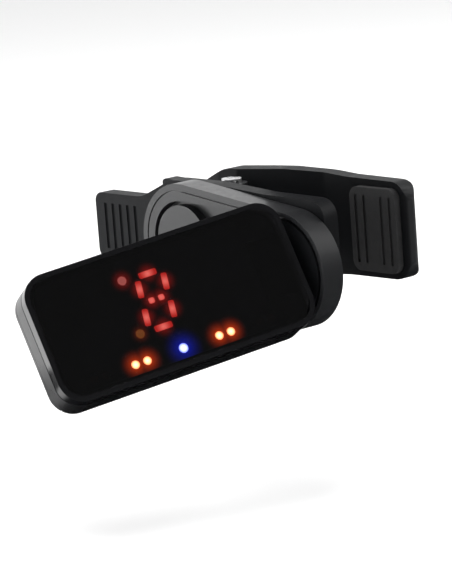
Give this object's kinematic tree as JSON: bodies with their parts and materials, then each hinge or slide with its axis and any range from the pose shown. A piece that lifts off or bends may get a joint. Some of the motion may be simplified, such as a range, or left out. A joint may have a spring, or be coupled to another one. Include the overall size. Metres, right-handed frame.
{
  "type": "clip-on tuner",
  "caption": "Clip-on instrument tuner: sprung headstock clamp, swivelling oval arm, turntable with tilt hinge, and a display head with lit note and tuning lights.",
  "frame": {"origin": "centre of the near jaw pad's gripping face", "axes": "+X along the clamp from its handles to its jaw, +Y from the near pad into the headstock it holds, +Z across the clamp, up"},
  "size_m": [0.0693, 0.0785, 0.0327],
  "materials": {
    "charcoal_plastic": "matte fine-textured moulded plastic",
    "pad_rubber": "soft matte rubber",
    "steel": "plated steel",
    "spring_steel": "drawn spring wire",
    "satin_black_plastic": "semi-gloss moulded plastic",
    "head_plastic": "semi-gloss moulded plastic",
    "gloss_black_plastic": "high gloss",
    "smoked_lens": "smoked polished window",
    "display_mask": "printed black",
    "red_led": "lit diffuser",
    "pale_red_led": "lit diffuser",
    "amber_led": "lit diffuser",
    "unlit_led": "unlit diffuser",
    "blue_led": "lit diffuser",
    "board_green": "solder mask",
    "chip_black": "moulded epoxy",
    "contact_brass": "sprung sheet",
    "cell_steel": "nickel plated"
  },
  "bodies": {
    "clamp_base": {"near_lever": "charcoal_plastic", "near_jaw_pad": "pad_rubber", "clamp_pin": "steel", "clamp_spring": "spring_steel"},
    "far_jaw": {"far_lever": "charcoal_plastic", "far_jaw_pad": "pad_rubber"},
    "arm": {"arm_body": "satin_black_plastic", "arm_cap": "satin_black_plastic", "swivel_screw": "steel", "swivel_washer": "steel"},
    "turntable": {"hinge_base": "charcoal_plastic", "turntable_screw": "steel", "turntable_washer": "steel"},
    "head": {"rear_shell": "head_plastic", "front_bezel": "gloss_black_plastic", "display_lens": "smoked_lens", "led_mask": "display_mask", "note_segments": "red_led", "note_marks": "pale_red_led", "tuning_lights": "amber_led", "tuning_lights_unlit": "unlit_led", "centre_light": "blue_led", "circuit_board": "board_green", "controller_chip": "chip_black", "piezo_sensor": "contact_brass", "battery_cell": "cell_steel", "battery_contact_positive": "contact_brass", "battery_contact_negative": "contact_brass", "shell_screws": "steel", "tilt_pin": "steel", "tact_switch": "chip_black"},
    "button": {"power_button": "charcoal_plastic"},
    "door": {"battery_door": "head_plastic"}
  },
  "joints": [
    {"name": "squeeze", "type": "hinge", "parent": "clamp_base", "child": "far_jaw", "pos_m": [-0.028, 0.0055, 0], "axis": [0, 0, 1], "range_deg": [-23, 12], "stiffness_Nm_per_rad": 0.12, "deforming": ["clamp_spring"]},
    {"name": "arm_swivel", "type": "hinge", "parent": "clamp_base", "child": "arm", "pos_m": [-0.026, -0.008, 0], "axis": [0, -1, 0], "continuous": true},
    {"name": "head_swivel", "type": "hinge", "parent": "arm", "child": "turntable", "pos_m": [0.0008, -0.0095, -0.00329], "axis": [0, -1, 0], "continuous": true},
    {"name": "tilt", "type": "hinge", "parent": "turntable", "child": "head", "pos_m": [0.00274, -0.0145, -0.00226], "axis": [-0.4695, 0, 0.8829], "range_deg": [-69, 20]},
    {"name": "power_press", "type": "slide", "parent": "head", "child": "button", "axis": [0.4695, 0, -0.8829], "range_m": [0, 0.0005], "stiffness_N_per_m": 600},
    {"name": "door_slide", "type": "slide", "parent": "head", "child": "door", "axis": [-0.3164, -0.9336, -0.1682], "range_m": [0, 0.021]}
  ]
}
